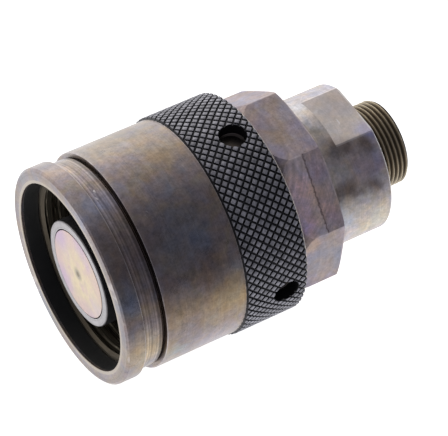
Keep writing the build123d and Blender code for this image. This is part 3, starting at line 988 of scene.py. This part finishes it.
def adapter_steel():
    """Turned adapter: duller grey wrench flats that are painted lighter, a rear rim with wear and a painted
    highlight, and a straw-coloured thread with painted light and shade.
    """
    patches = [
        # Painted reflections among these: the olive streak at 3 degrees, the dark bands at 29 and 61
        # degrees, the bluish-white highlight at 80 degrees and the pale highlight at -20 degrees.
        (84, 2, 9, (0.46, 0.43, 0.41), 0.7),
        (89, -12, 7, (0.4, 0.34, 0.33), 0.7),
        (91.5, 20, 5, (0.38, 0.36, 0.56), 0.9),
        (76.5, 3, 3.5, (0.36, 0.33, 0.27), 0.75),
        (78, 28, 5, (0.4, 0.35, 0.32), 0.6),
        (80, 29, 4.5, (0.24, 0.2, 0.19), 0.9),
        (84, 29, 4.5, (0.22, 0.185, 0.18), 1.0),
        (89, 29, 4.5, (0.23, 0.195, 0.2), 1.0),
        (86, 46, 7, (0.44, 0.36, 0.42), 0.8),
        (91, 42, 5, (0.44, 0.37, 0.48), 0.8),
        (78, 61, 4, (0.24, 0.2, 0.19), 0.9),
        (82, 61, 4.5, (0.22, 0.18, 0.17), 1.0),
        (88, 62, 4.5, (0.26, 0.215, 0.21), 1.0),
        (77, 80, 5, (0.56, 0.6, 0.68), 0.85),
        (88, 96, 9, (0.6, 0.54, 0.42), 0.8),
        (76, -20, 10, (0.66, 0.62, 0.6), 0.85),
    ]
    base = ((0.55, 0.5, 0.455), (0.515, 0.5, 0.535), (0.535, 0.485, 0.5))
    n, tint, roughness, normal = tinted_steel("adapter_steel", 22, patches, base, (0.36, 0.46), 0.2)
    station, out = n.station_and_out()
    height = n.math("ABSOLUTE", n.toward(0))
    milled = n.past(station, FLATS_START - 0.1, FLATS_START + 0.1)
    flat_finish_and_light = n.both(n.band(height, FLAT_R - 0.2, FLAT_R + 0.02, 0.04), milled)
    tint = n.painted(tint, flat_finish_and_light, 0.45, (0.44, 0.41, 0.405))
    # The flats get a greyer milled finish and are painted lighter, as painted light.
    tint = n.shaded_where(tint, flat_finish_and_light, 1.3)
    rim = n.both(n.band(station, shoulder - 0.45, shoulder - 0.05), n.past(out, 20.5, 20.8))
    rim_wear_and_highlight = n.range(n.cloudy(), 0.3, 0.6, 0.3, 0.9)
    # The rear rim is painted near white: partly wear, partly a painted highlight.
    tint = n.painted(tint, rim, rim_wear_and_highlight, (0.85, 0.83, 0.82))
    crest = n.past(out, PORT_R - 0.55, PORT_R - 0.05)
    # Painted light and shade on the thread: straw crests painted pale, roots painted dark brown.
    stud_thread_light_and_shade = n.mix(crest, (0.125, 0.1, 0.07), (0.5, 0.43, 0.31))
    tint = n.mix(n.past(station, shoulder + 0.2, shoulder + 0.6), tint, stud_thread_light_and_shade)
    tint = nicks(n, tint, 21, (
        (86.5, 5, 0.25, 1.6, 0.9), (86.2, 6, 0.2, 1.2, 0.8), (86, 44, 0.2, 1.2, 0.8),
        (86.6, 47, 0.3, 0.3, 0.7), (84, 16, 0.3, 0.3, 0.5), (90, 12, 0.3, 0.3, 0.5),
        (83, -12, 1.2, 0.5, 0.4), (89.5, 3, 0.6, 0.25, 0.5),
    ))
    return n.finish(tint, roughness, normal, metallic=0.72)


def black_oxide():
    """Blackened knurl: near black in the grooves, duller on the diamonds' tops, which are painted paler as
    wear and a painted highlight.
    """
    n = Paint("black_oxide")
    grain = n.noise(1500, 4.0, 0.6)
    uneven = n.noise(420, 2.0, 0.5)
    cloud = n.noise(90, 3.0, 0.5)
    colour = n.ramp(cloud, (0.3, (0.03, 0.03, 0.034)), (0.7, (0.046, 0.046, 0.052)))
    station, out = n.station_and_out()
    crest = n.past(out, grip_r - 0.2, grip_r - 0.06)
    wear_and_highlight = n.ramp(grain, (0.35, (0.24, 0.24, 0.275)), (0.65, (0.41, 0.41, 0.46)))
    wear_and_highlight = n.shaded(wear_and_highlight, n.range(uneven, 0.35, 0.65, 0.72, 1.28))
    # The diamonds' tops are painted paler: partly wear, partly a painted highlight.
    colour = n.painted(colour, crest, n.spread(cloud, 0.85, 1.0), wear_and_highlight)
    rear = grip_end - REAR_CHAMFER
    rear_edge = n.both(n.past(station, rear, rear + 0.08), n.past(out, 32.45, 32.6))
    colour = n.painted(colour, rear_edge, n.range(grain, 0.3, 0.5, 0.5, 1.0), (0.52, 0.48, 0.45))
    roughness = n.math("ADD", n.spread(grain, 0.36, 0.5), n.math("MULTIPLY", crest, 0.08))
    return n.finish(colour, roughness, n.bump(grain, 0.2, 0.00005), metallic=n.range(crest, 0, 1, 0.85, 0.5))


def plain_steel(name, colour, low, high):
    n = Paint(name)
    cloud = n.noise(120, 4.0, 0.6)
    lighter = tuple(min(1.0, c * 1.12) for c in colour)
    darker = tuple(c * 0.85 for c in colour)
    tint = n.ramp(cloud, (0.3, darker), (0.7, lighter))
    roughness = n.spread(n.noise(300, 3.0), low, high)
    return n.finish(tint, roughness, n.bump(n.rings(6000), 0.2, 0.00003), metallic=1.0)


def nose_steel():
    """Ground light face in front, dark phosphated side behind."""
    n = Paint("nose_steel")
    station, out = n.station_and_out()
    behind = n.past(station, nose_front + 0.3, nose_front + 0.6)
    grain = n.noise(500, 4.0, 0.6)
    turned = n.rings(2200, 3.0)
    light = n.ramp(grain, (0.3, (0.3, 0.29, 0.305)), (0.7, (0.44, 0.425, 0.44)))
    light = n.varied(light, turned, 0.85, 1.15)
    light = n.varied(light, n.noise(60), 0.85, 1.15)
    # Painted shade: the face's rounded inner edge by the gap to the poppet and its outer edge are half as
    # bright.
    land = n.band(out, 13.7, 15.7, 0.15)
    light = n.shaded(light, n.range(land, 0, 1, 0.5, 1.0))
    dark = n.ramp(grain, (0.3, (0.055, 0.055, 0.062)), (0.7, (0.1, 0.1, 0.11)))
    roughness = n.math("ADD", n.spread(grain, 0.32, 0.42), n.math("MULTIPLY", behind, 0.12))
    return n.finish(n.mix(behind, light, dark), roughness, n.bump(grain, 0.1, 0.00004), metallic=0.8)


def gilt_face():
    """Lapped disc: pale yellow in the middle, pink and lilac towards the rim, grey in the centre dimple."""
    n = Paint("gilt_face")
    out = n.along_and_out()[1]
    cream, pink, lilac = (0.6, 0.51, 0.35), (0.55, 0.42, 0.38), (0.46, 0.35, 0.47)
    broad = n.noise(110, 3.0, 0.55)
    tint = n.ramp(broad, (0.36, pink), (0.47, cream), (0.56, (0.58, 0.48, 0.34)), (0.66, pink))
    hues = n.ramp(n.noise(75, 2.0), (0.42, lilac), (0.5, pink), (0.58, (0.56, 0.45, 0.36)))
    tint = n.mix(n.range(out, 0.0075, 0.013, 0.0, 0.75), tint, hues)
    wander = n.wandering(160, 0.006)
    blooms = (
        (330, 8, pink, 0.9), (295, 9, lilac, 0.85), (255, 8, pink, 0.9), (215, 8, lilac, 0.7),
        (10, 7, lilac, 0.6), (60, 7, pink, 0.8), (110, 6, (0.52, 0.44, 0.46), 0.7), (160, 6, pink, 0.8),
    )
    for angle, size, colour, strength in blooms:
        spot = n.spot(wander, on_surface(poppet_front, angle, poppet_r - 1), (size * MM,) * 3, 0.9)
        tint = n.painted(tint, spot, strength, colour)
    tint = n.mix(n.range(out, 0.0008, 0.0026, 0.85, 0.0), tint, (0.22, 0.2, 0.17))
    fine = n.noise(700, 4.0, 0.6)
    tint = n.varied(tint, fine, 0.88, 1.12)
    roughness = n.spread(fine, 0.3, 0.42)
    return n.finish(tint, roughness, n.bump(fine, 0.1, 0.00003), metallic=0.95)


def rubber():
    n = Paint("nitrile")
    cloud = n.noise(140, 4.0, 0.6)
    tint = n.ramp(cloud, (0.3, (0.011, 0.012, 0.013)), (0.7, (0.02, 0.021, 0.022)))
    grain = n.noise(1800, 3.0)
    roughness = n.spread(grain, 0.42, 0.58)
    return n.finish(tint, roughness, n.bump(grain, 0.25, 0.00005))


def ptfe():
    n = Paint("ptfe")
    cloud = n.noise(200, 3.0)
    tint = n.ramp(cloud, (0.3, (0.74, 0.74, 0.7)), (0.7, (0.84, 0.84, 0.81)))
    roughness = n.spread(cloud, 0.35, 0.5)
    return n.finish(tint, roughness, n.bump(n.noise(1500), 0.1, 0.00003))


slot_materials = {
    "plated_steel": sleeve_steel(),
    "black_steel": black_oxide(),
    "nose_steel": nose_steel(),
    "gilt_steel": gilt_face(),
    "bright_steel": plain_steel("bright_steel", (0.56, 0.55, 0.53), 0.22, 0.36),
    "spring_steel": plain_steel("spring_steel", (0.24, 0.24, 0.25), 0.28, 0.42),
    "ball_steel": plain_steel("ball_steel", (0.74, 0.74, 0.76), 0.06, 0.14),
    "black_rubber": rubber(),
    "white_ptfe": ptfe(),
}
own_materials = {"valve_body": body_steel(), "adapter": adapter_steel()}

# ---- pieces that stand for CAD nodes ----
node_slot = {part["node"]: part["material_slot"] for part in frame["record"]["subparts"]}
replacements = {
    "threaded_sleeve": (make_threaded_sleeve, "sleeve"),
    "grip_ring": (make_grip_ring, "sleeve"),
    "dust_ring": (make_dust_ring, "sleeve"),
    "valve_body": (make_valve_body, "body"),
    "adapter": (make_adapter, "body"),
    "nose_tube": (make_nose_tube, "body"),
    "poppet_head": (make_poppet_head, "poppet"),
    "poppet_spring": (make_poppet_spring, "body"),
}


def paint_piece(piece, node):
    """Gives a piece its node's own material, or else the one of its slot."""
    material = own_materials.get(node, slot_materials[node_slot[node]])
    piece.data.materials.clear()
    piece.data.materials.append(material)


for node, (make, body) in replacements.items():
    piece = make()
    paint_piece(piece, node)
    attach(piece, body)
    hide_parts(node)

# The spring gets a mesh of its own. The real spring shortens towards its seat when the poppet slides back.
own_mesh(bpy.data.objects["coil_spring"])

for node, cad_object in frame["nodes"].items():
    if node not in replacements:
        paint_piece(cad_object, node)


# ---- floor, light and camera ----
FLOOR_REACH = 3.0
FLOOR_GAP = 0.0001


def make_floor():
    """Pale floor that lights the object from below, strongly behind it and weakly in front."""
    bm = bmesh.new()
    bmesh.ops.create_grid(bm, x_segments=2, y_segments=2, size=FLOOR_REACH)
    bmesh.ops.translate(bm, verts=bm.verts, vec=(0, 0, cad_box[0][2] - FLOOR_GAP))
    mesh = bpy.data.meshes.new("floor")
    bm.to_mesh(mesh)
    bm.free()
    n = Paint("lit_table")
    tint = n.ramp(n.noise(3.0), (0.3, (0.78, 0.78, 0.78)), (0.7, (0.8, 0.8, 0.8)))
    mesh.materials.append(n.finish(tint, n.range(n.noise(8.0), 0, 1, 0.9, 1.0)))
    lit = n.range(n.parts(n.place)["Y"], -0.145, -0.035, 0.08, 1.0)
    seen = n.add("LightPath").outputs["Is Camera Ray"]
    n.fill(n.shader.inputs["Emission Strength"], n.math("MAXIMUM", lit, seen))
    n.fill(n.shader.inputs["Emission Color"], (1, 1, 1, 1))
    add_piece("floor", mesh)


AZIMUTH = radians(-34.277)
ELEVATION = radians(49.769)
ROLL = radians(3.857)
DISTANCE = 0.7926
LENS = 222.31
SENSOR = 36.0
AIM_OFFSET = (-2.76, -1.01, -1.99)      # mm from the middle of the part


def make_camera():
    low, high = [Vector(corner) for corner in cad_box]
    aim = (low + high) / 2 + Vector(AIM_OFFSET) * MM
    forward = Vector((-sin(AZIMUTH) * cos(ELEVATION), cos(AZIMUTH) * cos(ELEVATION), -sin(ELEVATION)))
    level = Vector((cos(AZIMUTH), sin(AZIMUTH), 0))
    right = level * cos(ROLL) + level.cross(forward) * sin(ROLL)
    up = right.cross(forward)
    data = bpy.data.cameras.new("camera")
    data.sensor_width = SENSOR
    data.lens = LENS
    data.clip_start = 0.01
    camera = bpy.data.objects.new("camera", data)
    turn = Matrix((right, up, -forward)).transposed().to_4x4()
    camera.matrix_world = Matrix.Translation(aim - forward * DISTANCE) @ turn
    bpy.context.scene.collection.objects.link(camera)
    bpy.context.scene.camera = camera


def make_world():
    """Dim studio with a bright wall behind the object. Past the floor, the camera sees plain grey."""
    n = Nodes(bpy.data.worlds.new("studio"))
    across = n.parts(n.coordinates["Generated"])["Y"]
    wall = n.ramp(
        n.math("MULTIPLY_ADD", across, 0.5, 0.5),
        (0.25, (0.185, 0.188, 0.212)), (0.46, (0.235, 0.233, 0.25)), (0.62, (0.49, 0.475, 0.48)),
        (0.76, (0.64, 0.62, 0.605)), (0.88, (1.09, 1.06, 1.01)), (0.95, (1.64, 1.61, 1.56)),
    )
    studio = n.add("Background", {"Color": wall})
    plain = n.add("Background")
    seen = n.add("LightPath").outputs["Is Camera Ray"]
    mixed = n.add("MixShader", {0: seen, 1: studio.outputs[0], 2: plain.outputs[0]})
    n.add("OutputWorld", {"Surface": mixed.outputs[0]})
    bpy.context.scene.world = n.owner


make_floor()
make_camera()
make_world()
bpy.context.scene.view_settings.view_transform = "Standard"
